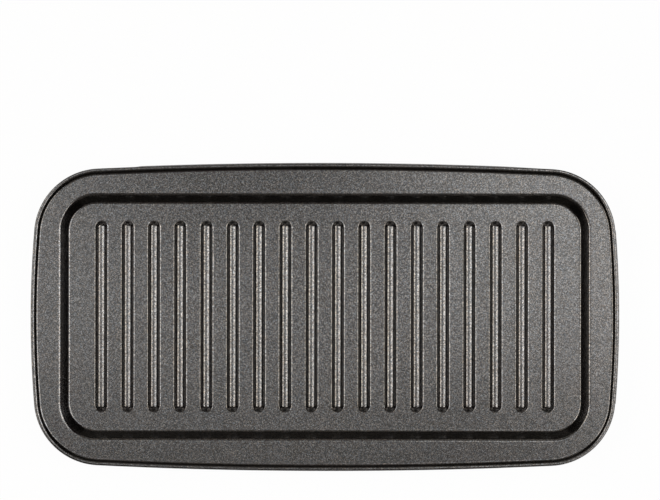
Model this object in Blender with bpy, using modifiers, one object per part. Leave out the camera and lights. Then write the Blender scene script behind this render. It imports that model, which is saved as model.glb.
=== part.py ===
"""Ribbed grill plate, the removable cooking plate of a countertop sandwich maker.

The plate is one thin-walled aluminium die casting with a non-stick coat. A raised lip runs round a
flat flange, and the flange drops down a sloping wall to a sunken floor with a row of round-topped
ribs. Underneath, the floor stands out as a boss that carries the grooved seat for the machine's
tube heater. Narrow ledges low on the rim go under the machine's hooks and latch.

Sizes are in metres. +Z is up, +X runs along the plate and +Y points to its back edge.
The origin lies under the middle of the plate, in the plane of the heater seat's lower face.
"""

import math

import bmesh
import bpy

# Rim outline seen from above: four shallow arcs joined by round corners
PLATE_LENGTH = 0.2640
PLATE_WIDTH = 0.1380
SIDE_ARC_RADIUS = 2.190
END_ARC_RADIUS = 0.485
CORNER_RADIUS = 0.0299

# Casting in section
CASTING_WALL = 0.0026
RECESS_DEPTH = 0.0050

# Lip: a rounded bead that stands above the flange
LIP_HEIGHT = 0.0016
LIP_SHOULDER = 0.0006
LIP_CREST = 0.0003
LIP_INNER_RUN = 0.0023
LIP_INNER_ROUNDING = 0.0011
LIP_FOOT_FILLET = 0.00115

# Skirt: the rim's outer wall, which widens a little towards its lower edge
SKIRT_DEPTH = 0.0066
SKIRT_WALL = 0.0020
SKIRT_DRAFT = 0.0001
SKIRT_EDGE = 0.0003
SKIRT_FILLET = 0.0010

# Recess: its mouth is a rounded rectangle with straight sides, set in from the rim's outline
END_RIM_WIDTH = 0.0122
SIDE_RIM_WIDTH = 0.0131
MOUTH_CORNER = 0.0172
WALL_RUN = 0.0052
MOUTH_ROUNDING = 0.0020
FLOOR_FILLET = 0.0014
BOSS_FOOT_FILLET = 0.0010

# Ribs across the floor, as many as fit between the two gaps at the ends of the row. The row stands
# a little nearer to the back edge.
RIB_PITCH = 0.01184
RIB_ROW_GAP = 0.0130
RIB_END_GAP = 0.0073
RIB_ROW_SHIFT = 0.00025
RIB_WIDTH = 0.0065
RIB_HEIGHT = 0.0018
RIB_CREST_RADIUS = 0.0026
RIB_FOOT_FILLET = 0.0011

# Ledges low on the skirt, under the machine's hooks at the back and its latch at the front
LEDGE_HEIGHT = 0.0020
LEDGE_LIFT = 0.0004
SIDE_LEDGE_PROUD = 0.0003
SIDE_LEDGE_LEFT_SETBACK = 0.0462
SIDE_LEDGE_RIGHT_SETBACK = 0.0290
SIDE_LEDGE_LEFT_RUNOUT = 0.0030
SIDE_LEDGE_RIGHT_RUNOUT = 0.0240
END_LEDGE_PROUD = 0.0006
END_LEDGE_SETBACK = 0.0280
END_LEDGE_RUNOUT = 0.0025

# Heater seat under the boss: a band with a round-bottomed groove for the tube heater
HEATER_DIAMETER = 0.0070
HEATER_CLEARANCE = 0.0002
HEATER_END_INSET = 0.0210
HEATER_SIDE_INSET = 0.0190
HEATER_CORNER = 0.0180
HEATER_TAIL_SPACING = 0.0320
HEATER_TAIL_BEND = 0.0090
HEATER_TAIL_INSET = 0.0035
SEAT_HEIGHT = 0.0030
SEAT_LAND = 0.0022
SEAT_DRAFT = 0.0003
SEAT_FOOT_FILLET = 0.0009
GROOVE_DEPTH = 0.0024

# Ejector pads: the round marks where the die's pins push the casting out
PAD_DIAMETER = 0.0070
PAD_HEIGHT = 0.0005
MIDDLE_PAD_INSET = 0.0360
CORNER_PAD_INSET = 0.0085

# How far a piece reaches into the one it is joined to, and how far a tangent foot is set in
ROOT = 0.0008
SETTING = 0.00002
MERGE_GAP = 0.00002

# Steps of the round forms
END_STEPS = 2
CORNER_STEPS = 10
SIDE_STEPS = 3
WALL_STEPS = 4
LIP_STEPS = 3
SHOULDER_STEPS = 2
FILLET_STEPS = 2
BOSS_STEPS = 3
RIB_PROFILE_STEPS = 3
RIB_END_STEPS = 6
LEDGE_STEPS = 16
BEND_STEPS = 6
GROOVE_RESOLUTION = 2
PAD_STEPS = 20

# A pair of fillets takes up at most this share of what its wall has room for
FILLET_LIMIT_SHARE = 0.98

# Heights, from the heater seat's face up
BOSS_Z = SEAT_HEIGHT
FLOOR_Z = BOSS_Z + CASTING_WALL
FLANGE_Z = FLOOR_Z + RECESS_DEPTH
UNDER_FLANGE_Z = FLANGE_Z - CASTING_WALL
LIP_Z = FLANGE_Z + LIP_HEIGHT
SKIRT_Z = FLANGE_Z - SKIRT_DEPTH

# Half sizes, and the centres of the outline's shallow arcs
HALF_LENGTH = PLATE_LENGTH / 2
HALF_WIDTH = PLATE_WIDTH / 2
MOUTH_HALF_LENGTH = HALF_LENGTH - END_RIM_WIDTH
MOUTH_HALF_WIDTH = HALF_WIDTH - SIDE_RIM_WIDTH
FLOOR_HALF_LENGTH = MOUTH_HALF_LENGTH - WALL_RUN
FLOOR_HALF_WIDTH = MOUTH_HALF_WIDTH - WALL_RUN
HEATER_HALF_LENGTH = FLOOR_HALF_LENGTH - HEATER_END_INSET
HEATER_HALF_WIDTH = FLOOR_HALF_WIDTH - HEATER_SIDE_INSET
GROOVE_RADIUS = HEATER_DIAMETER / 2 + HEATER_CLEARANCE
END_ARC_CENTRE = (HALF_LENGTH - END_ARC_RADIUS, 0)
SIDE_ARC_CENTRE = (0, HALF_WIDTH - SIDE_ARC_RADIUS)
RIB_COUNT = 1 + int(2 * (FLOOR_HALF_LENGTH - RIB_ROW_GAP) / RIB_PITCH)

COAT_COLOUR = (0.145, 0.14, 0.136, 1)
COAT_METALLIC = 1.0
COAT_ROUGHNESS = 0.2
SHARP_ANGLE = math.radians(30)
QUARTER_TURN = math.pi / 2


def clear_scene():
    for item in list(bpy.data.objects):
        bpy.data.objects.remove(item, do_unlink=True)


def new_collection(name):
    collection = bpy.data.collections.new(name)
    bpy.context.scene.collection.children.link(collection)
    return collection


def coated_aluminium():
    """Dark metallic non-stick coat."""
    material = bpy.data.materials.new("non_stick_coat")
    material.use_nodes = True
    shader = material.node_tree.nodes["Principled BSDF"]
    shader.inputs["Base Color"].default_value = COAT_COLOUR
    shader.inputs["Metallic"].default_value = COAT_METALLIC
    shader.inputs["Roughness"].default_value = COAT_ROUGHNESS
    return material


def add_object(mesh, collection, parent):
    item = bpy.data.objects.new(mesh.name, mesh)
    collection.objects.link(item)
    item.parent = parent
    return item


def as_cutter(item):
    item.hide_render = True
    item.display_type = "WIRE"
    return item


def polar(centre, radius, angle):
    return (centre[0] + radius * math.cos(angle), centre[1] + radius * math.sin(angle))


def direction(start, end):
    return math.atan2(end[1] - start[1], end[0] - start[0])


def arc(centre, radius, start, end, steps):
    """Points of an arc, both ends included."""
    return [polar(centre, radius, start + (end - start) * i / steps) for i in range(steps + 1)]


def loft(name, rings):
    """Closed mesh through rings of equal point counts, each counter-clockwise, with both ends capped.

    The rings run from the upper cap outwards and down to the lower cap.
    """
    shape = bmesh.new()
    loops = [[shape.verts.new(point) for point in ring] for ring in rings]
    count = len(rings[0])
    for inner, outer in zip(loops, loops[1:]):
        for i in range(count):
            j = (i + 1) % count
            shape.faces.new((inner[i], outer[i], outer[j], inner[j]))
    shape.faces.new(loops[0])
    shape.faces.new(reversed(loops[-1]))
    mesh = bpy.data.meshes.new(name)
    shape.to_mesh(mesh)
    shape.free()
    mesh.shade_smooth()
    mesh.set_sharp_from_angle(angle=SHARP_ANGLE)
    return mesh


def corner_centre():
    """Centre of the round corner that touches the side arc and the end arc from inside.

    It is where two circles cross: each has its arc's centre and the arc's radius less the corner's.
    """
    side = SIDE_ARC_RADIUS - CORNER_RADIUS
    end = END_ARC_RADIUS - CORNER_RADIUS
    apart = math.dist(SIDE_ARC_CENTRE, END_ARC_CENTRE)
    along = (side * side - end * end + apart * apart) / (2 * apart)
    aside = math.sqrt(side * side - along * along)
    across = direction(SIDE_ARC_CENTRE, END_ARC_CENTRE)
    return polar(polar(SIDE_ARC_CENTRE, along, across), aside, across - QUARTER_TURN)


def bowed_quarter(inset):
    """Quarter of the rim's outline from +X round to +Y, moved inwards by inset."""
    corner = corner_centre()
    turn_in = direction(END_ARC_CENTRE, corner)
    turn_out = direction(SIDE_ARC_CENTRE, corner)
    end = arc(END_ARC_CENTRE, END_ARC_RADIUS - inset, 0, turn_in, END_STEPS)
    bend = arc(corner, CORNER_RADIUS - inset, turn_in, turn_out, CORNER_STEPS)
    side = arc(SIDE_ARC_CENTRE, SIDE_ARC_RADIUS - inset, turn_out, QUARTER_TURN, SIDE_STEPS)
    return end[:-1] + bend[:-1] + side


def straight_quarter(half_length, half_width, corner):
    """Quarter of a rounded rectangle from +X round to +Y, with as many points as the bowed quarter."""
    centre = (half_length - corner, half_width - corner)
    end = [(half_length, centre[1] * i / END_STEPS) for i in range(END_STEPS)]
    bend = arc(centre, corner, 0, QUARTER_TURN, CORNER_STEPS)
    side = [(centre[0] * (1 - i / SIDE_STEPS), half_width) for i in range(SIDE_STEPS + 1)]
    return end + bend[:-1] + side


def whole_ring(quarter, height):
    """Mirrors a quarter into a closed ring of points at one height, counter-clockwise."""
    back = quarter + [(-x, y) for x, y in reversed(quarter[:-1])]
    front = [(x, -y) for x, y in reversed(back[1:-1])]
    return [(x, y, height) for x, y in back + front]


def rim_ring(inset, height):
    return whole_ring(bowed_quarter(inset), height)


def recess_ring(inset, height):
    """Ring with straight sides, moved inwards by inset from the recess's mouth."""
    half_length = MOUTH_HALF_LENGTH - inset
    half_width = MOUTH_HALF_WIDTH - inset
    return whole_ring(straight_quarter(half_length, half_width, MOUTH_CORNER - inset), height)


def wall_slope(run, drop, radii):
    """Angle below the level of a straight slope that joins two arcs of these radii added together."""
    rise = drop - radii
    return math.atan2(rise, run) + math.asin(radii / math.hypot(run, rise))


def fillet_fitting(run, drop, radii):
    """How much two fillets shrink, alike, to fit their wall without an overhang: 1 is not at all."""
    room = run if run < drop else (run * run + drop * drop) / (2 * drop)
    return min(1, FILLET_LIMIT_SHARE * room / radii)


def s_curve(run, drop, upper_radius, lower_radius, steps):
    """Section of a wall as (reach, depth): an arc, a straight slope and an arc, tangent throughout."""
    fitting = fillet_fitting(run, drop, upper_radius + lower_radius)
    upper_radius *= fitting
    lower_radius *= fitting
    slope = wall_slope(run, drop, upper_radius + lower_radius)
    turns = [slope * i / steps for i in range(steps + 1)]
    upper = [(upper_radius * math.sin(t), upper_radius * (1 - math.cos(t))) for t in turns]
    lower = [
        (run - lower_radius * math.sin(t), drop - lower_radius * (1 - math.cos(t)))
        for t in reversed(turns)
    ]
    return upper + lower


def recess_rings():
    """From the floor up the sloping wall to the flange."""
    wall = s_curve(WALL_RUN, RECESS_DEPTH, MOUTH_ROUNDING, FLOOR_FILLET, WALL_STEPS)
    return [recess_ring(reach, FLANGE_Z - depth) for reach, depth in reversed(wall)]


def lip_rings():
    """From the flange up the lip's inner side, over its crest and round its outer shoulder."""
    lip = s_curve(LIP_INNER_RUN, LIP_HEIGHT, LIP_INNER_ROUNDING, LIP_FOOT_FILLET, LIP_STEPS)
    crest = LIP_SHOULDER + LIP_CREST
    rings = [rim_ring(crest + reach, LIP_Z - depth) for reach, depth in reversed(lip)]
    for i in range(SHOULDER_STEPS + 1):
        turn = QUARTER_TURN * i / SHOULDER_STEPS
        inset = LIP_SHOULDER * (1 - math.sin(turn))
        rings.append(rim_ring(inset, LIP_Z - LIP_SHOULDER * (1 - math.cos(turn))))
    return rings


def skirt_rings():
    """Down the skirt's outer face, round its lower edge and up its inner face to the flange."""
    outer = -SKIRT_DRAFT
    rings = [
        rim_ring(outer, SKIRT_Z + SKIRT_EDGE),
        rim_ring(outer + SKIRT_EDGE, SKIRT_Z),
        rim_ring(SKIRT_WALL - SKIRT_EDGE, SKIRT_Z),
        rim_ring(SKIRT_WALL, SKIRT_Z + SKIRT_EDGE),
    ]
    for i in range(FILLET_STEPS + 1):
        turn = QUARTER_TURN * i / FILLET_STEPS
        inset = SKIRT_WALL + SKIRT_DRAFT + SKIRT_FILLET * (1 - math.cos(turn))
        rings.append(rim_ring(inset, UNDER_FLANGE_Z - SKIRT_FILLET * (1 - math.sin(turn))))
    return rings


def boss_rings():
    """From the flange's underside down the boss, one wall's thickness from the recess above it.

    The wall slants, so the boss's foot lies outwards of the recess's mouth.
    """
    slope = wall_slope(WALL_RUN, RECESS_DEPTH, MOUTH_ROUNDING + FLOOR_FILLET)
    outwards = (CASTING_WALL + BOSS_FOOT_FILLET - MOUTH_ROUNDING) * math.tan(slope / 2)
    edge_radius = FLOOR_FILLET + CASTING_WALL
    boss = s_curve(WALL_RUN + outwards, RECESS_DEPTH, BOSS_FOOT_FILLET, edge_radius, BOSS_STEPS)
    return [recess_ring(reach - outwards, UNDER_FLANGE_Z - depth) for reach, depth in boss]


def rib_ring(straight, radius, height):
    """Ring of a bar with round ends that lies along Y."""
    back = arc((0, straight / 2), radius, 0, math.pi, RIB_END_STEPS)
    front = arc((0, -straight / 2), radius, math.pi, 2 * math.pi, RIB_END_STEPS)
    return [(x, y, height) for x, y in back + front]


def rib_row(collection, parent):
    """All the ribs as one row: a round-topped bar with a filleted foot, repeated along X."""
    half = RIB_WIDTH / 2
    straight = 2 * (FLOOR_HALF_WIDTH - RIB_END_GAP - half)
    base = FLOOR_Z - SETTING
    profile = s_curve(half, RIB_HEIGHT, RIB_CREST_RADIUS, RIB_FOOT_FILLET, RIB_PROFILE_STEPS)
    rings = [rib_ring(straight, reach, base + RIB_HEIGHT - depth) for reach, depth in profile[1:]]
    rings.append(rib_ring(straight, half, base - ROOT))
    row = add_object(loft("rib_row", rings), collection, parent)
    row.location.x = -RIB_PITCH * (RIB_COUNT - 1) / 2
    row.location.y = RIB_ROW_SHIFT
    repeat = row.modifiers.new("repeat", "ARRAY")
    repeat.count = RIB_COUNT
    repeat.use_relative_offset = False
    repeat.use_constant_offset = True
    repeat.constant_offset_displace = (RIB_PITCH, 0, 0)
    return as_cutter(row)


def ledge(name, centre, radius, middle, reaches, runouts, proud):
    """Bar along an arc of the skirt, with a sloping run-out at each end.

    Reaches and runouts are lengths along the arc, clockwise and counter-clockwise of its middle.
    """
    face = radius + SKIRT_DRAFT
    low = SKIRT_Z + LEDGE_LIFT
    start = middle - reaches[0] / face
    end = middle + reaches[1] / face
    crest = arc(centre, face + proud, start + runouts[0] / face, end - runouts[1] / face, LEDGE_STEPS)
    back = arc(centre, face - ROOT, end, start, LEDGE_STEPS)
    rings = [[(x, y, low + rise) for x, y in crest + back] for rise in (LEDGE_HEIGHT, 0)]
    return loft(name, rings)


def ledges(collection, parent):
    """Back and front ledges, mirror images of each other, and the ledge at the right-hand end."""
    front_centre = (0, -SIDE_ARC_CENTRE[1])
    right = HALF_LENGTH - SIDE_LEDGE_RIGHT_SETBACK
    left = HALF_LENGTH - SIDE_LEDGE_LEFT_SETBACK
    half = HALF_WIDTH - END_LEDGE_SETBACK
    meshes = (
        ledge(
            "back_ledge", SIDE_ARC_CENTRE, SIDE_ARC_RADIUS, QUARTER_TURN, (right, left),
            (SIDE_LEDGE_RIGHT_RUNOUT, SIDE_LEDGE_LEFT_RUNOUT), SIDE_LEDGE_PROUD,
        ),
        ledge(
            "front_ledge", front_centre, SIDE_ARC_RADIUS, -QUARTER_TURN, (left, right),
            (SIDE_LEDGE_LEFT_RUNOUT, SIDE_LEDGE_RIGHT_RUNOUT), SIDE_LEDGE_PROUD,
        ),
        ledge(
            "end_ledge", END_ARC_CENTRE, END_ARC_RADIUS, 0, (half, half),
            (END_LEDGE_RUNOUT, END_LEDGE_RUNOUT), END_LEDGE_PROUD,
        ),
    )
    return [as_cutter(add_object(mesh, collection, parent)) for mesh in meshes]


def heater_path(overrun):
    """Centre line of the tube heater: a loop whose two tails leave side by side towards the back."""
    tail = FLOOR_HALF_WIDTH - HEATER_TAIL_INSET + overrun
    tail_x = HEATER_TAIL_SPACING / 2
    tail_centre = (tail_x + HEATER_TAIL_BEND, HEATER_HALF_WIDTH + HEATER_TAIL_BEND)
    corner_x = HEATER_HALF_LENGTH - HEATER_CORNER
    corner_y = HEATER_HALF_WIDTH - HEATER_CORNER
    half = [(tail_x, tail)]
    half += arc(tail_centre, HEATER_TAIL_BEND, math.pi, math.pi + QUARTER_TURN, BEND_STEPS)
    half += arc((corner_x, corner_y), HEATER_CORNER, QUARTER_TURN, 0, BEND_STEPS)
    half += arc((corner_x, -corner_y), HEATER_CORNER, 0, -QUARTER_TURN, BEND_STEPS)
    return half + [(-x, y) for x, y in reversed(half)]


def band_ring(path, half_width, height):
    """Outline of a band of one width along an open path, counter-clockwise."""
    left = []
    right = []
    for i, point in enumerate(path):
        before = path[max(i - 1, 0)]
        after = path[min(i + 1, len(path) - 1)]
        across = direction(before, after) + QUARTER_TURN
        left.append(polar(point, half_width, across))
        right.append(polar(point, -half_width, across))
    return [(x, y, height) for x, y in right + left[::-1]]


def heater_seat(collection, parent):
    """Band under the boss, with a fillet at its foot and drafted sides."""
    groove_mouth = math.sqrt(GROOVE_RADIUS**2 - (GROOVE_RADIUS - GROOVE_DEPTH) ** 2)
    half = groove_mouth + SEAT_LAND
    foot = half + SEAT_DRAFT
    base = BOSS_Z + SETTING
    path = heater_path(0)
    rings = [band_ring(path, foot + SEAT_FOOT_FILLET, base + ROOT)]
    for i in range(FILLET_STEPS + 1):
        turn = QUARTER_TURN * i / FILLET_STEPS
        width = foot + SEAT_FOOT_FILLET * (1 - math.sin(turn))
        rings.append(band_ring(path, width, base - SEAT_FOOT_FILLET * (1 - math.cos(turn))))
    rings.append(band_ring(path, half, 0))
    return as_cutter(add_object(loft("heater_seat", rings), collection, parent))


def heater_groove(collection, parent):
    """Round cutter along the heater's centre line, past both ends of the seat."""
    path = heater_path(GROOVE_RADIUS)
    curve = bpy.data.curves.new("heater_line", "CURVE")
    curve.dimensions = "3D"
    curve.bevel_depth = GROOVE_RADIUS
    curve.bevel_resolution = GROOVE_RESOLUTION
    curve.use_fill_caps = True
    line = curve.splines.new("POLY")
    line.points.add(len(path) - 1)
    for point, (x, y) in zip(line.points, path):
        point.co = (x, y, GROOVE_DEPTH - GROOVE_RADIUS, 1)
    guide = bpy.data.objects.new("heater_line", curve)
    collection.objects.link(guide)
    seen = guide.evaluated_get(bpy.context.evaluated_depsgraph_get())
    mesh = bpy.data.meshes.new_from_object(seen)
    bpy.data.objects.remove(guide)
    shape = bmesh.new()
    shape.from_mesh(mesh)
    bmesh.ops.remove_doubles(shape, verts=shape.verts, dist=MERGE_GAP)
    shape.to_mesh(mesh)
    shape.free()
    mesh.name = "heater_groove"
    return as_cutter(add_object(mesh, collection, parent))


def pad_places():
    """A row along the middle of the boss, and one place near each of its corners."""
    middle = HEATER_HALF_LENGTH - MIDDLE_PAD_INSET
    corner_x = FLOOR_HALF_LENGTH - CORNER_PAD_INSET
    corner_y = FLOOR_HALF_WIDTH - CORNER_PAD_INSET
    corners = [(x, y) for x in (-corner_x, corner_x) for y in (-corner_y, corner_y)]
    return [(-middle, 0), (0, 0), (middle, 0)] + corners


def ejector_pads(collection, parent):
    shape = bmesh.new()
    for x, y in pad_places():
        made = bmesh.ops.create_cone(
            shape, cap_ends=True, segments=PAD_STEPS, depth=PAD_HEIGHT + ROOT,
            radius1=PAD_DIAMETER / 2, radius2=PAD_DIAMETER / 2,
        )
        height = BOSS_Z + (ROOT - PAD_HEIGHT) / 2
        bmesh.ops.translate(shape, verts=made["verts"], vec=(x, y, height))
    mesh = bpy.data.meshes.new("ejector_pads")
    shape.to_mesh(mesh)
    shape.free()
    return as_cutter(add_object(mesh, collection, parent))


def combine(target, operation, tool):
    modifier = target.modifiers.new(f"{operation.lower()} {tool.name}", "BOOLEAN")
    modifier.operation = operation
    modifier.solver = "EXACT"
    modifier.object = tool


def build_plate():
    """One casting: the lofted shell, joined by its ribs, ledges, seat and pads, with the groove cut."""
    parts = new_collection("sandwich_maker_grill_plate")
    cutters = new_collection("cutters")
    middle = bpy.data.objects.new("plate_middle", None)
    parts.objects.link(middle)
    middle.location.x = -END_LEDGE_PROUD / 2

    rings = recess_rings() + lip_rings() + skirt_rings() + boss_rings()
    plate = add_object(loft("grill_plate", rings), parts, middle)
    plate.data.materials.append(coated_aluminium())
    combine(plate, "UNION", rib_row(cutters, middle))
    for bar in ledges(cutters, middle):
        combine(plate, "UNION", bar)
    combine(plate, "UNION", heater_seat(cutters, middle))
    combine(plate, "UNION", ejector_pads(cutters, middle))
    combine(plate, "DIFFERENCE", heater_groove(cutters, middle))


clear_scene()
build_plate()
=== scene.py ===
"""Ribbed grill plate of a sandwich maker, dressed for its picture.

The plate is one coated aluminium casting. Its fine surface is worked out here with numpy, section by
section, and takes the place of the plain solid in the frame.
"""

import math

import bmesh
import bpy
import numpy as np
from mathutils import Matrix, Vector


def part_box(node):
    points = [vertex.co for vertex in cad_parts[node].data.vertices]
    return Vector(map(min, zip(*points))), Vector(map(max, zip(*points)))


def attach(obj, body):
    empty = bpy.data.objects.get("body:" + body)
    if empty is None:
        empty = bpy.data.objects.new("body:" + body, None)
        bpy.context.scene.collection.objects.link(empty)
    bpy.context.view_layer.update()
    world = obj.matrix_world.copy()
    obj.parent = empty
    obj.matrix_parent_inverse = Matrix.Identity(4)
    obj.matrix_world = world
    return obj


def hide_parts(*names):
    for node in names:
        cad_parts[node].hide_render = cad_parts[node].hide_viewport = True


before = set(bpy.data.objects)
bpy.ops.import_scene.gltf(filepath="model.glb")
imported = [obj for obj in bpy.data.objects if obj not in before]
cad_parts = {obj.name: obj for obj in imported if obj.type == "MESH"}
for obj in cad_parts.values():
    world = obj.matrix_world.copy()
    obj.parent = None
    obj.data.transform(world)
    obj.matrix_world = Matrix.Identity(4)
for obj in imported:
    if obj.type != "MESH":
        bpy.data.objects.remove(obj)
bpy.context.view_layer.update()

# Casting: the plate's shell, one thin wall of die-cast aluminium that folds from the sunken floor up a
# sloping wall, out over the flange, up and over the lip and down the skirt, and comes back
# underneath as the boss. It is cast in one shot with everything that the next sections add.

MM = 0.001
PLATE_LENGTH = 264.0 * MM
PLATE_WIDTH = 138.0 * MM
SIDE_ARC_RADIUS = 2190.0 * MM
END_ARC_RADIUS = 485.0 * MM
CORNER_RADIUS = 29.9 * MM
CASTING_WALL = 2.6 * MM
RECESS_DEPTH = 5.0 * MM
SEAT_HEIGHT = 3.0 * MM

LIP_HEIGHT = 1.6 * MM
LIP_SHOULDER = 0.6 * MM
LIP_CREST = 0.3 * MM
LIP_INNER_RUN = 2.3 * MM
LIP_INNER_ROUNDING = 1.1 * MM
LIP_FOOT_FILLET = 1.15 * MM

SKIRT_DEPTH = 6.6 * MM
SKIRT_WALL = 2.0 * MM
SKIRT_DRAFT = 0.1 * MM
SKIRT_EDGE = 0.3 * MM
SKIRT_FILLET = 1.0 * MM

END_RIM_WIDTH = 12.2 * MM
SIDE_RIM_WIDTH = 13.1 * MM
MOUTH_CORNER = 17.2 * MM
WALL_RUN = 5.2 * MM
MOUTH_ROUNDING = 2.0 * MM
FLOOR_FILLET = 1.4 * MM
BOSS_FOOT_FILLET = 1.0 * MM

# Steps round a quarter of the shell. Those along a rib and across a cell of the rib row come out of
# the same total, so that the floor's grid and the shell's meet point for point.
END_STEPS = 6
CORNER_STEPS = 24
ARC_STEPS = 7
HALF_RIB_STEPS = END_STEPS + CORNER_STEPS // 2
CELL_STEPS = 12
RIB_COUNT = 18
QUARTER_STEPS = HALF_RIB_STEPS + RIB_COUNT // 2 * CELL_STEPS
SIDE_STEPS = QUARTER_STEPS - END_STEPS - CORNER_STEPS

low_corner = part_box("grill_plate")[0]
MIDDLE_X = low_corner.x + PLATE_LENGTH / 2 + SKIRT_DRAFT
BOSS_Z = low_corner.z + SEAT_HEIGHT
FLOOR_Z = BOSS_Z + CASTING_WALL
FLANGE_Z = FLOOR_Z + RECESS_DEPTH
LIP_Z = FLANGE_Z + LIP_HEIGHT
SKIRT_Z = FLANGE_Z - SKIRT_DEPTH
UNDER_FLANGE_Z = FLANGE_Z - CASTING_WALL

HALF_LENGTH = PLATE_LENGTH / 2
HALF_WIDTH = PLATE_WIDTH / 2
MOUTH_HALF_LENGTH = HALF_LENGTH - END_RIM_WIDTH
MOUTH_HALF_WIDTH = HALF_WIDTH - SIDE_RIM_WIDTH
FLOOR_HALF_LENGTH = MOUTH_HALF_LENGTH - WALL_RUN
FLOOR_HALF_WIDTH = MOUTH_HALF_WIDTH - WALL_RUN
END_CENTRE = complex(HALF_LENGTH - END_ARC_RADIUS, 0)
SIDE_CENTRE = complex(0, HALF_WIDTH - SIDE_ARC_RADIUS)
QUARTER_TURN = math.pi / 2


def arc(centre, radius, start, end, steps):
    """Points of an arc as complex numbers, both ends included: centre plus radius times a unit number."""
    return centre + radius * np.exp(1j * np.linspace(start, end, steps + 1))


def corner_centre():
    """Where a circle about the side arc's centre crosses one about the end arc's centre.

    Each has its arc's radius less the corner's, so a corner about the crossing touches both arcs.
    """
    side = SIDE_ARC_RADIUS - CORNER_RADIUS
    end = END_ARC_RADIUS - CORNER_RADIUS
    between = END_CENTRE - SIDE_CENTRE
    along = (side**2 - end**2 + abs(between) ** 2) / (2 * abs(between))
    aside = math.sqrt(side**2 - along**2)
    return SIDE_CENTRE + complex(along, -aside) * between / abs(between)


def whole_ring(quarter):
    """Mirrors a quarter, from +X round to +Y, into a closed ring, counter-clockwise."""
    half = np.concatenate([quarter, -np.conj(quarter[-2::-1])])
    return np.concatenate([half, np.conj(half[-2:0:-1])])


def rim_ring(inset):
    """The rim's outline moved inwards: end arc, corner arc and side arc, their radii less the inset."""
    corner = corner_centre()
    turn_in = np.angle(corner - END_CENTRE)
    turn_out = np.angle(corner - SIDE_CENTRE)
    end = arc(END_CENTRE, END_ARC_RADIUS - inset, 0, turn_in, END_STEPS)
    bend = arc(corner, CORNER_RADIUS - inset, turn_in, turn_out, CORNER_STEPS)
    side = arc(SIDE_CENTRE, SIDE_ARC_RADIUS - inset, turn_out, QUARTER_TURN, SIDE_STEPS)
    return whole_ring(np.concatenate([end[:-1], bend[:-1], side]))


def recess_ring(inset):
    """Rounded rectangle with straight sides, moved inwards by inset from the recess's mouth."""
    corner = MOUTH_CORNER - inset
    half = complex(MOUTH_HALF_LENGTH - inset, MOUTH_HALF_WIDTH - inset)
    centre = half - complex(corner, corner)
    end = np.linspace(half.real, complex(half.real, centre.imag), END_STEPS + 1)
    bend = arc(centre, corner, 0, QUARTER_TURN, CORNER_STEPS)
    side = np.linspace(complex(centre.real, half.imag), complex(0, half.imag), SIDE_STEPS + 1)
    return whole_ring(np.concatenate([end[:-1], bend[:-1], side]))


def slope_angle(run, drop, radii):
    """Angle below the level of a straight slope between two arcs, whose radii come added together."""
    return math.atan2(drop - radii, run) + math.asin(radii / math.hypot(run, drop - radii))


def wall_section(run, drop, upper_radius, lower_radius):
    """Section of a wall as rows of (reach, depth): an arc, a straight slope and an arc, all tangent.

    Each arc goes its radius times the sine across and times one less the cosine down.
    """
    turn = np.linspace(0, slope_angle(run, drop, upper_radius + lower_radius), ARC_STEPS + 1)
    unit = np.stack([np.sin(turn), 1 - np.cos(turn)], axis=1)
    upper = unit * upper_radius
    lower = (run, drop) - unit[::-1] * lower_radius
    return np.concatenate([upper, lower])


def rounding(radius):
    """Quarter round as two rows, one that falls from the radius to nothing and one that rises to it.

    They are the radius times one less the sine of the turn, and times one less its cosine.
    """
    turn = np.linspace(0, QUARTER_TURN, ARC_STEPS)
    return radius * (1 - np.stack([np.sin(turn), np.cos(turn)]))


def level(ring, height):
    """A ring of complex numbers as points in space, on the plate's own middle."""
    return np.stack([ring.real + MIDDLE_X, ring.imag, np.full(len(ring), height)], axis=1)


def shell_rings():
    """All the shell's rings, from the floor's edge outwards over the lip and back to the boss.

    Each ring is an outline moved inwards by its point of the wall's section, at that point's height.
    """
    wall = wall_section(WALL_RUN, RECESS_DEPTH, MOUTH_ROUNDING, FLOOR_FILLET)
    rings = [level(recess_ring(reach), FLANGE_Z - depth) for reach, depth in wall[::-1]]
    lip = wall_section(LIP_INNER_RUN, LIP_HEIGHT, LIP_INNER_ROUNDING, LIP_FOOT_FILLET)
    crest = LIP_SHOULDER + LIP_CREST
    rings += [level(rim_ring(crest + reach), LIP_Z - depth) for reach, depth in lip[::-1]]
    shoulder_fall, shoulder_rise = rounding(LIP_SHOULDER)
    edge_fall, edge_rise = rounding(SKIRT_EDGE)
    fillet_fall, fillet_rise = rounding(SKIRT_FILLET)
    skirt = [
        (shoulder_fall, LIP_Z - shoulder_rise),
        (edge_rise - SKIRT_DRAFT, SKIRT_Z + edge_fall),
        (SKIRT_WALL - edge_fall, SKIRT_Z + edge_rise),
        (SKIRT_WALL + SKIRT_DRAFT + fillet_rise, UNDER_FLANGE_Z - fillet_fall),
    ]
    for insets, heights in skirt:
        rings += [level(rim_ring(inset), height) for inset, height in zip(insets, heights)]
    slope = slope_angle(WALL_RUN, RECESS_DEPTH, MOUTH_ROUNDING + FLOOR_FILLET)
    outwards = (CASTING_WALL + BOSS_FOOT_FILLET - MOUTH_ROUNDING) * math.tan(slope / 2)
    boss = wall_section(WALL_RUN + outwards, RECESS_DEPTH, BOSS_FOOT_FILLET, FLOOR_FILLET + CASTING_WALL)
    rings += [level(recess_ring(reach - outwards), UNDER_FLANGE_Z - depth) for reach, depth in boss]
    return np.stack(rings)


def ring_faces(rows, columns):
    """Faces of a grid of rows by columns whose columns close into rings: four neighbours each."""
    index = np.arange(rows * columns).reshape(rows, columns)
    index = np.concatenate([index, index[:, :1]], axis=1)
    corners = [index[:-1, :-1], index[1:, :-1], index[1:, 1:], index[:-1, 1:]]
    return np.stack(corners, axis=-1).reshape(-1, 4)


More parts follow.
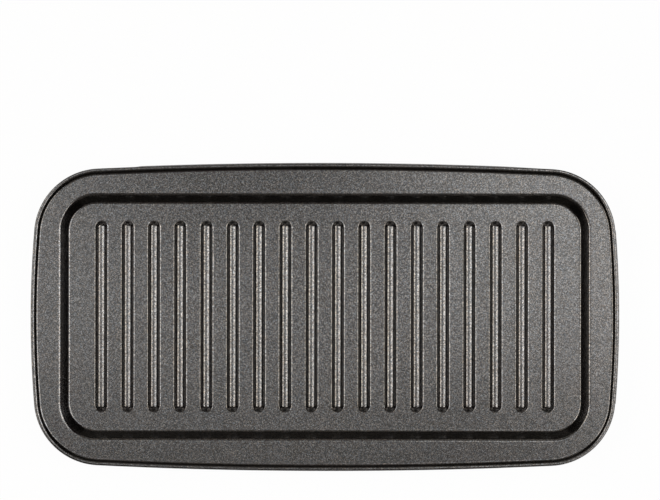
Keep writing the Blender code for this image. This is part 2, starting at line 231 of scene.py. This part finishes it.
# Floor and ribs: the cooking surface, a flat floor with eighteen ribs that stand across it. Each rib
# is a round-topped bar with round ends and a fillet at its foot. Their row stands a quarter of a
# millimetre nearer to the back edge.

RIB_PITCH = 11.84 * MM
RIB_END_GAP = 7.3 * MM
RIB_ROW_SHIFT = 0.25 * MM
RIB_WIDTH = 6.5 * MM
RIB_HEIGHT = 1.8 * MM
RIB_CREST_RADIUS = 2.6 * MM
RIB_FOOT_FILLET = 1.1 * MM
CELL_MARGIN = 2.0 * MM
WELD_GAP = 0.001 * MM
RIB_STRAIGHT = FLOOR_HALF_WIDTH - RIB_END_GAP - RIB_WIDTH / 2
CELL_HALF_LENGTH = FLOOR_HALF_WIDTH - RIB_END_GAP + CELL_MARGIN


def stadium_ring(radius):
    """Ring at one distance from a rib's middle line: two straights and two half circles.

    The whole ring lies a little towards the back, by the shift of the rib row.
    """
    centre = complex(0, RIB_STRAIGHT)
    side = np.linspace(radius - centre, radius + centre, 2 * HALF_RIB_STEPS + 1)
    end = arc(centre, radius, 0, math.pi, CELL_STEPS)
    ring = np.concatenate([side[:-1], end[:-1], -side[:-1], -end[:-1]])
    return ring + complex(0, RIB_ROW_SHIFT)


def cell_ring():
    """Rectangle round one rib, with a point for each of the stadium's."""
    corner = complex(RIB_PITCH / 2, CELL_HALF_LENGTH)
    side = np.linspace(np.conj(corner), corner, 2 * HALF_RIB_STEPS + 1)
    end = np.linspace(corner, -np.conj(corner), CELL_STEPS + 1)
    return np.concatenate([side[:-1], end[:-1], -side[:-1], -end[:-1]])


def rib_cells():
    """Grids of all the ribs at once: rings out from the crest line to the foot, then the cell's edge."""
    section = wall_section(RIB_WIDTH / 2, RIB_HEIGHT, RIB_CREST_RADIUS, RIB_FOOT_FILLET)
    rings = [level(stadium_ring(reach), FLOOR_Z + RIB_HEIGHT - depth) for reach, depth in section]
    rings.append(level(cell_ring(), FLOOR_Z))
    cell = np.stack(rings)
    places = (np.arange(RIB_COUNT) - (RIB_COUNT - 1) / 2) * RIB_PITCH
    cells = np.repeat(cell[None], RIB_COUNT, axis=0)
    cells[..., 0] += places[:, None, None]
    return cells


def floor_rings():
    """Two rings that the flat floor spans: the whole rib row's rectangle and the foot of the wall."""
    corner = complex(RIB_COUNT * RIB_PITCH / 2, CELL_HALF_LENGTH)
    end = np.linspace(corner.real, corner, HALF_RIB_STEPS + 1)
    side = np.linspace(corner, complex(0, corner.imag), QUARTER_STEPS - HALF_RIB_STEPS + 1)
    row_edge = whole_ring(np.concatenate([end[:-1], side]))
    return np.stack([level(row_edge, FLOOR_Z), level(recess_ring(WALL_RUN), FLOOR_Z)])


def welded_mesh(name, grids, caps=()):
    """One mesh from grids of points whose columns close into rings, with equal points made one.

    Each cap is one more ring of points that a single face fills.
    """
    points = []
    faces = []
    count = 0
    for grid in grids:
        rows, columns = grid.shape[:2]
        points.append(grid.reshape(-1, 3))
        faces += (ring_faces(rows, columns) + count).tolist()
        count += rows * columns
    for ring in caps:
        points.append(ring)
        faces.append(list(range(count, count + len(ring))))
        count += len(ring)
    mesh = bpy.data.meshes.new(name)
    mesh.from_pydata(np.concatenate(points), [], faces)
    shape = bmesh.new()
    shape.from_mesh(mesh)
    bmesh.ops.remove_doubles(shape, verts=shape.verts, dist=WELD_GAP)
    shape.to_mesh(mesh)
    shape.free()
    return mesh


def new_piece(mesh):
    """Object at the origin, unturned, with this mesh."""
    piece = bpy.data.objects.new(mesh.name, mesh)
    bpy.context.scene.collection.objects.link(piece)
    return piece


shell = shell_rings()
casting_mesh = welded_mesh("coated_casting", [*rib_cells(), floor_rings(), shell], caps=[shell[-1][::-1]])
casting = new_piece(casting_mesh)

# Heater seat: a looped band under the boss, cast with it. The machine's tube heater lies in its
# round-bottomed groove, and the heater's two tails leave side by side towards the back edge.

HEATER_RADIUS = 3.5 * MM
HEATER_CLEARANCE = 0.2 * MM
HEATER_END_INSET = 21.0 * MM
HEATER_SIDE_INSET = 19.0 * MM
HEATER_CORNER = 18.0 * MM
TAIL_SPACING = 32.0 * MM
TAIL_BEND = 9.0 * MM
TAIL_INSET = 3.5 * MM
SEAT_LAND = 2.2 * MM
SEAT_DRAFT = 0.3 * MM
SEAT_FOOT_FILLET = 0.9 * MM
SEAT_EDGE = 0.2 * MM
GROOVE_DEPTH = 2.4 * MM
GROOVE_RADIUS = HEATER_RADIUS + HEATER_CLEARANCE
SEAT_ROOT = 0.8 * MM
BEND_STEPS = 16
PIPE_STEPS = 32


def heater_line(overrun):
    """The heater's middle line: half of it from the tail to the front leg, then its mirror image.

    The half is the tail's end, an arc outwards and two corner arcs, with straights in between.
    """
    half_length = FLOOR_HALF_LENGTH - HEATER_END_INSET
    half_width = FLOOR_HALF_WIDTH - HEATER_SIDE_INSET
    tail = complex(TAIL_SPACING / 2, FLOOR_HALF_WIDTH - TAIL_INSET + overrun)
    bend_centre = complex(tail.real + TAIL_BEND, half_width + TAIL_BEND)
    corner = complex(half_length - HEATER_CORNER, half_width - HEATER_CORNER)
    half = np.concatenate([
        [tail],
        arc(bend_centre, TAIL_BEND, math.pi, math.pi + QUARTER_TURN, BEND_STEPS),
        arc(corner, HEATER_CORNER, QUARTER_TURN, 0, BEND_STEPS),
        arc(np.conj(corner), HEATER_CORNER, 0, -QUARTER_TURN, BEND_STEPS),
    ])
    return np.concatenate([half, -np.conj(half[::-1])])


def swept(line, section):
    """Section of (aside, height) rows carried along a line: one ring for each point of the line.

    Aside is measured to the line's left, square to the direction between its neighbours.
    """
    ahead = np.concatenate([line[1:], line[-1:]]) - np.concatenate([line[:1], line[:-1]])
    left = 1j * ahead / np.abs(ahead)
    places = line[:, None] + left[:, None] * section[None, :, 0]
    heights = np.broadcast_to(section[:, 1], places.shape)
    return np.stack([places.real + MIDDLE_X, places.imag, heights], axis=-1)


def seat_section():
    """Closed section of the band: root, fillet, drafted side, rounded edge, and back the other way."""
    half = math.sqrt(GROOVE_RADIUS**2 - (GROOVE_RADIUS - GROOVE_DEPTH) ** 2) + SEAT_LAND
    foot = half + SEAT_DRAFT
    low = BOSS_Z - SEAT_HEIGHT
    fillet_fall, fillet_rise = rounding(SEAT_FOOT_FILLET)
    edge_fall, edge_rise = rounding(SEAT_EDGE)
    fillet = np.stack([foot + fillet_fall, BOSS_Z - fillet_rise], axis=1)
    edge = np.stack([half - edge_rise, low + edge_fall], axis=1)
    root = [[foot + SEAT_FOOT_FILLET, BOSS_Z + SEAT_ROOT]]
    right = np.concatenate([root, fillet, edge])
    return np.concatenate([right, right[::-1] * (-1, 1)])


def pipe_section():
    """Circle that cuts the groove: its radius times the cosine aside and times the sine down."""
    turn = np.linspace(0, 2 * math.pi, PIPE_STEPS, endpoint=False)
    middle = BOSS_Z - SEAT_HEIGHT + GROOVE_DEPTH - GROOVE_RADIUS
    return np.stack([GROOVE_RADIUS * np.cos(turn), middle - GROOVE_RADIUS * np.sin(turn)], axis=1)


def closed_tube(name, grid):
    """Mesh of a grid of rings with its first and last ring capped, its faces pointing out."""
    return welded_mesh(name, [grid], caps=[grid[0], grid[-1][::-1]])


def joined(piece, tool, operation):
    """Joins a tool to a piece (UNION), or cuts it out of it (DIFFERENCE), and takes the tool away."""
    modifier = piece.modifiers.new(operation.lower(), "BOOLEAN")
    modifier.operation = operation
    modifier.solver = "MANIFOLD"
    modifier.object = tool
    shape = piece.evaluated_get(bpy.context.evaluated_depsgraph_get())
    mesh = bpy.data.meshes.new_from_object(shape)
    mesh.name = piece.name
    piece.modifiers.clear()
    piece.data = mesh
    bpy.data.objects.remove(tool)


seat = new_piece(closed_tube("heater_seat", swept(heater_line(0), seat_section())))
joined(casting, seat, "UNION")
groove = new_piece(closed_tube("heater_groove", swept(heater_line(GROOVE_RADIUS), pipe_section())))
joined(casting, groove, "DIFFERENCE")

# Ejector pads: seven low round marks of the casting's own metal on the underside. The die's pins
# stand there, and push the casting out while it is hot.

PAD_RADIUS = 3.5 * MM
PAD_HEIGHT = 0.5 * MM
PAD_EDGE = 0.15 * MM
MIDDLE_PAD_INSET = 36.0 * MM
CORNER_PAD_INSET = 8.5 * MM
PAD_STEPS = 48


def pad_grid(place):
    """A low turned pad: its root, its side and its rounded lower edge, as rings about its place."""
    fall, rise = rounding(PAD_EDGE)
    radii = np.concatenate([[PAD_RADIUS], PAD_RADIUS - rise])
    heights = np.concatenate([[BOSS_Z + SEAT_ROOT], BOSS_Z - PAD_HEIGHT + fall])
    rings = [arc(place, radius, 0, 2 * math.pi, PAD_STEPS)[:-1] for radius in radii]
    return np.stack([level(ring, height) for ring, height in zip(rings, heights)])


middle_pad = FLOOR_HALF_LENGTH - HEATER_END_INSET - MIDDLE_PAD_INSET
corner_pad = complex(FLOOR_HALF_LENGTH - CORNER_PAD_INSET, FLOOR_HALF_WIDTH - CORNER_PAD_INSET)
corner_pads = [corner_pad, -corner_pad, np.conj(corner_pad), -np.conj(corner_pad)]
for place in [-middle_pad, 0, middle_pad, *corner_pads]:
    joined(casting, new_piece(closed_tube("ejector_pad", pad_grid(place))), "UNION")

# Ledges: narrow bars low on the skirt, cast with it. The machine's hooks hold the back one, its latch
# the front one, and the one at the right-hand end lets the plate in one way round only.

LEDGE_HEIGHT = 2.0 * MM
LEDGE_LIFT = 0.4 * MM
LEDGE_EDGE = 0.2 * MM
LEDGE_ROOT = 0.8 * MM
SIDE_LEDGE_PROUD = 0.3 * MM
SIDE_LEDGE_LEFT_SETBACK = 46.2 * MM
SIDE_LEDGE_RIGHT_SETBACK = 29.0 * MM
SIDE_LEDGE_LEFT_RUNOUT = 3.0 * MM
SIDE_LEDGE_RIGHT_RUNOUT = 24.0 * MM
END_LEDGE_PROUD = 0.6 * MM
END_LEDGE_SETBACK = 28.0 * MM
END_LEDGE_RUNOUT = 2.5 * MM
LEDGE_STEPS = 120


def ledge_grid(centre, radius, middle, first_end, last_end, proud):
    """A bar carried along an arc: its outer face stands out by proud and runs out to nothing at both ends.

    Each end, clockwise and then counter-clockwise of the middle, is its reach and its runout along the
    arc. A point's angle is the middle's, and more by its way along the arc over the face's radius.
    """
    first_reach, first_runout = first_end
    last_reach, last_runout = last_end
    face = radius + SKIRT_DRAFT
    low = SKIRT_Z + LEDGE_LIFT
    high = low + LEDGE_HEIGHT
    along = np.linspace(-first_reach, last_reach, LEDGE_STEPS + 1)
    share = np.minimum((along + first_reach) / first_runout, (last_reach - along) / last_runout)
    outer = proud * np.clip(share, 0, 1)[:, None]
    fall, rise = rounding(LEDGE_EDGE)
    inner = np.full_like(outer, -LEDGE_ROOT)
    aside = np.concatenate([inner, outer - fall, (outer - fall)[:, ::-1], inner], axis=1)
    height = np.concatenate([[high], high - rise, (low + rise)[::-1], [low]])
    places = centre + (face + aside) * np.exp(1j * (middle + along / face))[:, None]
    heights = np.broadcast_to(height, places.shape)
    return np.stack([places.real + MIDDLE_X, places.imag, heights], axis=-1)


left_end = (HALF_LENGTH - SIDE_LEDGE_LEFT_SETBACK, SIDE_LEDGE_LEFT_RUNOUT)
right_end = (HALF_LENGTH - SIDE_LEDGE_RIGHT_SETBACK, SIDE_LEDGE_RIGHT_RUNOUT)
short_end = (HALF_WIDTH - END_LEDGE_SETBACK, END_LEDGE_RUNOUT)
ledge_grids = [
    ledge_grid(SIDE_CENTRE, SIDE_ARC_RADIUS, QUARTER_TURN, right_end, left_end, SIDE_LEDGE_PROUD),
    ledge_grid(-SIDE_CENTRE, SIDE_ARC_RADIUS, -QUARTER_TURN, left_end, right_end, SIDE_LEDGE_PROUD),
    ledge_grid(END_CENTRE, END_ARC_RADIUS, 0, short_end, short_end, END_LEDGE_PROUD),
]
for grid in ledge_grids:
    joined(casting, new_piece(closed_tube("ledge", grid)), "UNION")

# Surface: the casting's skin as it leaves the die. Its round forms are shaded smooth, and its flats
# keep their own direction up to their fillets.

SHARP_ANGLE = math.radians(35)
casting.data.shade_smooth()
casting.data.set_sharp_from_angle(angle=SHARP_ANGLE)
flats = casting.modifiers.new("flats lead", "WEIGHTED_NORMAL")
flats.keep_sharp = True

# Coat: dark non-stick coat, sprayed on and baked. Fine metal flakes in it give a grain of bright and
# dark, warm and cool specks, and a faint cloudiness where the spray lay thicker.

COAT_DARK = (0.080, 0.080, 0.079, 1)
COAT_LIGHT = (0.286, 0.284, 0.281, 1)
TINT_WARM = (1.12, 0.99, 0.87, 1)
TINT_COOL = (0.91, 1.0, 1.10, 1)
FLAKE_SIZE = 0.33 * MM
SPARKLE_SHARPNESS = 2.0
CLOUD_SIZE = 14.0 * MM
GRAIN_SIZE = 0.30 * MM
GRAIN_HEIGHT = 0.005 * MM
COAT_METALLIC = 1.0
COAT_ROUGHNESS = 0.18
CLOUD_TINT_SHARE = 0.2


def shader_node(owner, kind, **settings):
    """New node in the tree of its owner, a material or the world."""
    node = owner.node_tree.nodes.new(kind)
    for name, value in settings.items():
        setattr(node, name, value)
    return node


def non_stick_coat():
    """Metal with a grain of flakes, each a small cell with a brightness and a tint of its own.

    Brightness goes from dark to light by the cell's first random number to the power of the
    sharpness, and tint from cool to warm by a mix of its second one and the clouds.
    """
    material = bpy.data.materials.new("non_stick_coat")
    material.use_nodes = True
    tree = material.node_tree
    link = tree.links.new
    shader = tree.nodes["Principled BSDF"]
    shader.inputs["Metallic"].default_value = COAT_METALLIC
    shader.inputs["Roughness"].default_value = COAT_ROUGHNESS
    place = shader_node(material, "ShaderNodeTexCoord").outputs["Object"]

    flakes = shader_node(material, "ShaderNodeTexVoronoi")
    flakes.inputs["Scale"].default_value = 1 / FLAKE_SIZE
    link(place, flakes.inputs["Vector"])
    random = shader_node(material, "ShaderNodeSeparateColor")
    link(flakes.outputs["Color"], random.inputs["Color"])
    brightness = shader_node(material, "ShaderNodeMix", data_type="RGBA")
    brightness.inputs["A"].default_value = COAT_DARK
    brightness.inputs["B"].default_value = COAT_LIGHT
    sparkle = shader_node(material, "ShaderNodeMath", operation="POWER")
    sparkle.inputs[1].default_value = SPARKLE_SHARPNESS
    link(random.outputs["Red"], sparkle.inputs[0])
    link(sparkle.outputs["Value"], brightness.inputs["Factor"])

    clouds = shader_node(material, "ShaderNodeTexNoise")
    clouds.inputs["Scale"].default_value = 1 / CLOUD_SIZE
    link(place, clouds.inputs["Vector"])
    warmth = shader_node(material, "ShaderNodeMix")
    warmth.inputs["Factor"].default_value = CLOUD_TINT_SHARE
    link(random.outputs["Green"], warmth.inputs["A"])
    link(clouds.outputs["Fac"], warmth.inputs["B"])
    tint = shader_node(material, "ShaderNodeMix", data_type="RGBA")
    tint.inputs["A"].default_value = TINT_COOL
    tint.inputs["B"].default_value = TINT_WARM
    link(warmth.outputs["Result"], tint.inputs["Factor"])
    colour = shader_node(material, "ShaderNodeMix", data_type="RGBA", blend_type="MULTIPLY")
    colour.inputs["Factor"].default_value = 1
    link(brightness.outputs["Result"], colour.inputs["A"])
    link(tint.outputs["Result"], colour.inputs["B"])
    link(colour.outputs["Result"], shader.inputs["Base Color"])

    grain = shader_node(material, "ShaderNodeTexNoise")
    grain.inputs["Scale"].default_value = 1 / GRAIN_SIZE
    link(place, grain.inputs["Vector"])
    bump = shader_node(material, "ShaderNodeBump")
    bump.inputs["Strength"].default_value = 1
    bump.inputs["Distance"].default_value = GRAIN_HEIGHT
    link(grain.outputs["Fac"], bump.inputs["Height"])
    link(bump.outputs["Normal"], shader.inputs["Normal"])
    return material


casting.data.materials.clear()
casting.data.materials.append(non_stick_coat())
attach(casting, "root")
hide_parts("grill_plate")

# Floor: a plain white sheet under the plate, without an edge in view. It looks white by itself, and
# the lamps' share of its light keeps the plate's shadow. From underneath it lets the view through.

FLOOR_HALF_SIZE = 3.0
FLOOR_WHITE = (0.9, 0.9, 0.9, 1)
PURE_WHITE = (1, 1, 1, 1)
SHEET_GLOW_SHARE = 0.97
SHEET_GAP = 0.05 * MM


def seen_directly(owner):
    """1 for rays from the camera, for reflections and for what glass lets through, and 0 for the rest."""
    link = owner.node_tree.links.new
    path = shader_node(owner, "ShaderNodeLightPath")
    seen = path.outputs["Is Camera Ray"]
    for ray in ("Is Glossy Ray", "Is Transmission Ray"):
        larger = shader_node(owner, "ShaderNodeMath", operation="MAXIMUM")
        link(seen, larger.inputs[0])
        link(path.outputs[ray], larger.inputs[1])
        seen = larger.outputs["Value"]
    return seen


def white_sheet():
    """Mostly white glow where it is seen, white paper for the lamps, and clear from underneath."""
    material = bpy.data.materials.new("white_sheet")
    material.use_nodes = True
    tree = material.node_tree
    link = tree.links.new
    tree.nodes.remove(tree.nodes["Principled BSDF"])
    output = tree.nodes["Material Output"]
    paper = shader_node(material, "ShaderNodeBsdfDiffuse")
    paper.inputs["Color"].default_value = FLOOR_WHITE
    glow = shader_node(material, "ShaderNodeEmission")
    glow.inputs["Color"].default_value = PURE_WHITE
    glow.inputs["Strength"].default_value = 1
    share = shader_node(material, "ShaderNodeMath", operation="MULTIPLY")
    share.inputs[1].default_value = SHEET_GLOW_SHARE
    link(seen_directly(material), share.inputs[0])
    sheet = shader_node(material, "ShaderNodeMixShader")
    link(share.outputs["Value"], sheet.inputs["Fac"])
    link(paper.outputs["BSDF"], sheet.inputs[1])
    link(glow.outputs["Emission"], sheet.inputs[2])
    clear = shader_node(material, "ShaderNodeBsdfTransparent")
    side = shader_node(material, "ShaderNodeNewGeometry")
    both = shader_node(material, "ShaderNodeMixShader")
    link(side.outputs["Backfacing"], both.inputs["Fac"])
    link(sheet.outputs["Shader"], both.inputs[1])
    link(clear.outputs["BSDF"], both.inputs[2])
    link(both.outputs["Shader"], output.inputs["Surface"])
    return material


corners = np.array([[-1, -1, 0], [1, -1, 0], [1, 1, 0], [-1, 1, 0]]) * FLOOR_HALF_SIZE
floor_mesh = bpy.data.meshes.new("floor")
floor_mesh.from_pydata(corners + (0, 0, low_corner.z - SHEET_GAP), [], [[0, 1, 2, 3]])
floor_mesh.materials.append(white_sheet())
floor = new_piece(floor_mesh)

# Backdrop: a plain white wall wherever the sheet ends. It is seen as it is, in mirroring surfaces
# too, and throws no light on matt ones.

world = bpy.data.worlds.new("white_backdrop")
bpy.context.scene.world = world
world.use_nodes = True
backdrop = world.node_tree.nodes["Background"]
backdrop.inputs["Color"].default_value = PURE_WHITE
world.node_tree.links.new(seen_directly(world), backdrop.inputs["Strength"])

# Tent: black cloth that hangs all round behind the lamps, down to the sheet. The plate's steep walls
# mirror it and turn black, as they are in the photograph. The camera looks through it.

TENT_RADIUS = 2.2
TENT_HEM = 0.02
TENT_RINGS = 24
TENT_COLUMNS = 64
CLOTH_GLOW = (0.018, 0.014, 0.013, 1)


def tent_grid():
    """Half a ball over the plate: rings as wide as the cosine of their climb and as high as its sine."""
    rings = []
    for climb in np.linspace(0, QUARTER_TURN, TENT_RINGS + 1):
        ring = arc(0, TENT_RADIUS * math.cos(climb), 0, 2 * math.pi, TENT_COLUMNS)[:-1]
        rings.append(level(ring, TENT_RADIUS * math.sin(climb) - TENT_HEM))
    return np.stack(rings)


def black_cloth():
    """Cloth that gives back next to no light."""
    material = bpy.data.materials.new("black_cloth")
    material.use_nodes = True
    tree = material.node_tree
    tree.nodes.remove(tree.nodes["Principled BSDF"])
    glow = shader_node(material, "ShaderNodeEmission")
    glow.inputs["Color"].default_value = CLOTH_GLOW
    glow.inputs["Strength"].default_value = 1
    tree.links.new(glow.outputs["Emission"], tree.nodes["Material Output"].inputs["Surface"])
    return material


tent_mesh = welded_mesh("tent", [tent_grid()])
tent_mesh.materials.append(black_cloth())
tent = new_piece(tent_mesh)
tent.visible_camera = False

# Light: soft boxes inside the tent. Two bright ones, at the right and the left of straight above, have
# dimmer cloth round them and between them, and what is low at the front and the back is dim.

LAMP_DISTANCE = 1.3
NEUTRAL = (1, 1, 1)
WARM_WHITE = (1.0, 0.96, 0.92)
WARM = (1.0, 0.93, 0.84)

# Each box spans these degrees rightwards of straight above and these degrees backwards of it, and has
# this brightness and colour.
SOFT_BOXES = {
    "right_box": ((14, 46), (-28, 17), 2.3, WARM_WHITE),
    "right_cloth": ((3, 58), (-4, 24), 1.16, NEUTRAL),
    "left_box": ((-56, -29), (-23, 31), 2.4, WARM),
    "left_cloth": ((-51, -8), (-5, 30), 0.78, NEUTRAL),
    "top_cloth": ((-16, 22), (-3, 20), 0.36, NEUTRAL),
    "middle_cloth": ((-10, 3), (-6, 2), 0.65, NEUTRAL),
    "low_cloth": ((-13, 22), (-30, -4), 0.22, WARM_WHITE),
    "back_cloth": ((-28, 16), (26, 74), 0.25, WARM),
    "front_cloth": ((-28, 20), (-74, -30), 0.11, WARM),
}


def soft_box(name, across, along, brightness, colour):
    """Area lamp that faces the plate and fills the span of directions it is given."""
    right = math.radians(sum(across) / 2)
    back = math.radians(sum(along) / 2)
    lamp = bpy.data.lights.new(name, "AREA")
    lamp.shape = "RECTANGLE"
    lamp.size = 2 * LAMP_DISTANCE * math.tan(math.radians(across[1] - across[0]) / 2)
    lamp.size_y = 2 * LAMP_DISTANCE * math.tan(math.radians(along[1] - along[0]) / 2)
    lamp.energy = brightness * math.pi * lamp.size * lamp.size_y
    lamp.color = colour
    box = bpy.data.objects.new(name, lamp)
    bpy.context.scene.collection.objects.link(box)
    aside = math.cos(back) * LAMP_DISTANCE
    height = aside * math.cos(right)
    box.location = (aside * math.sin(right), LAMP_DISTANCE * math.sin(back), height)
    box.rotation_euler = (-back, right, 0)
    box.visible_camera = False


for name, settings in SOFT_BOXES.items():
    soft_box(name, *settings)

bpy.context.scene.view_settings.view_transform = "Standard"

# Camera: straight above, far back, with the plate low in the frame and turned a hair, as the
# photograph has it. A pixel's length is the one that it has at the height of the lip.

CAMERA_HEIGHT = 1.5
SENSOR_WIDTH = 36.0
FRAME_WIDTH_PX = 660
FRAME_MIDDLE_PX = complex(329.5, 249.5)
PLATE_MIDDLE_PX = complex(324.27, 316.76)
PIXEL = 0.4487 * MM
CAMERA_ROLL = math.radians(0.077)

camera_data = bpy.data.cameras.new("camera")
camera_data.sensor_width = SENSOR_WIDTH
camera_data.lens = SENSOR_WIDTH * CAMERA_HEIGHT / (FRAME_WIDTH_PX * PIXEL)
camera = bpy.data.objects.new("camera", camera_data)
bpy.context.scene.collection.objects.link(camera)
aside = (FRAME_MIDDLE_PX - PLATE_MIDDLE_PX) * PIXEL
camera.location = (MIDDLE_X + aside.real, -aside.imag, LIP_Z + CAMERA_HEIGHT)
camera.rotation_euler = (0, 0, CAMERA_ROLL)
bpy.context.scene.camera = camera
